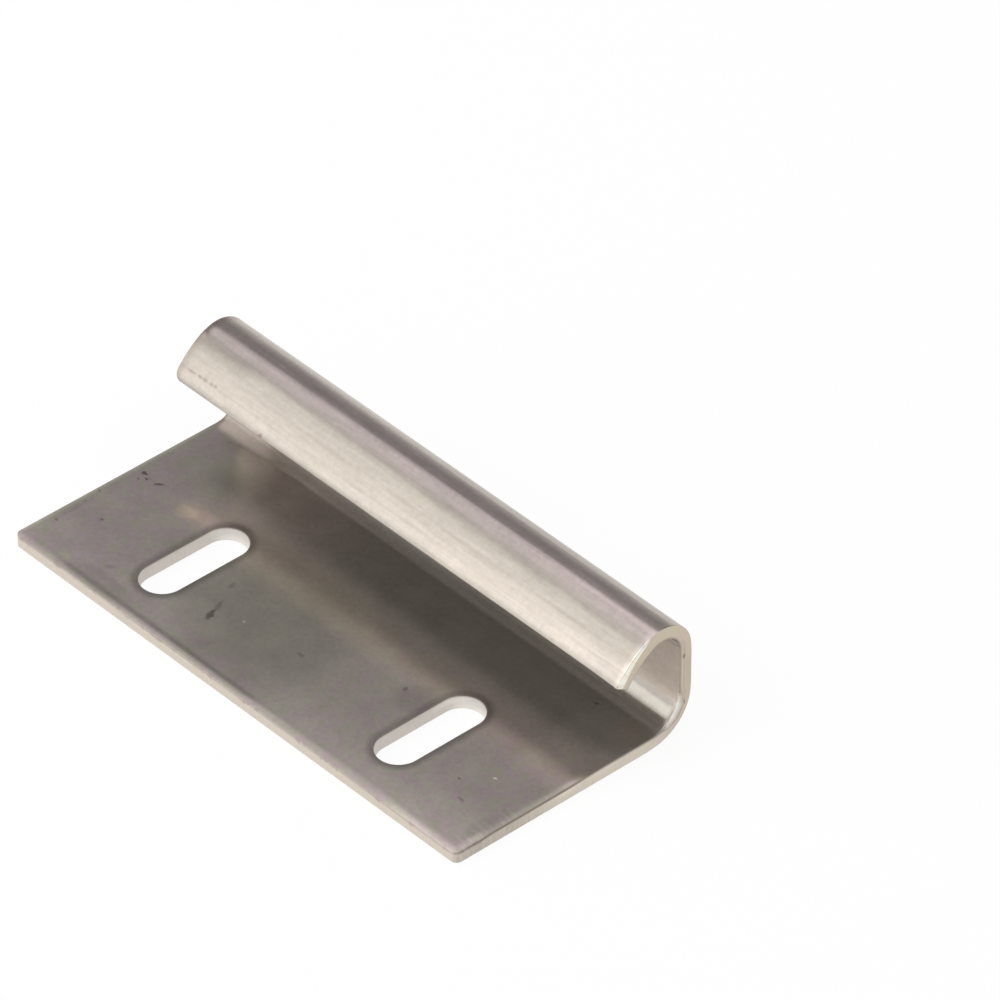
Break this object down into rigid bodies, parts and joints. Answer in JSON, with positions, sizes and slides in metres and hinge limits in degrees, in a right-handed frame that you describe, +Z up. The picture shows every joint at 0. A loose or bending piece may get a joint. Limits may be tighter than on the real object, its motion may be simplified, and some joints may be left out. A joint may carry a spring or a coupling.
{
  "type": "hook mounting bracket",
  "caption": "Folded stainless sheet bracket: a flat base with slotted screw holes turns up into a full-length hook that curls back over the base.",
  "frame": {"origin": "middle of the footprint, on the underside of the base", "axes": "+X along the length of the hook, +Y from the base's free edge to the wall, +Z up from the base"},
  "size_m": [0.088, 0.041, 0.0192],
  "materials": {
    "stainless_sheet": "mill-finished stainless sheet, satin, faintly mottled, with lengthwise drawing lines on the bends"
  },
  "bodies": {
    "root": {"hook_bracket": "stainless_sheet"}
  },
  "joints": []
}
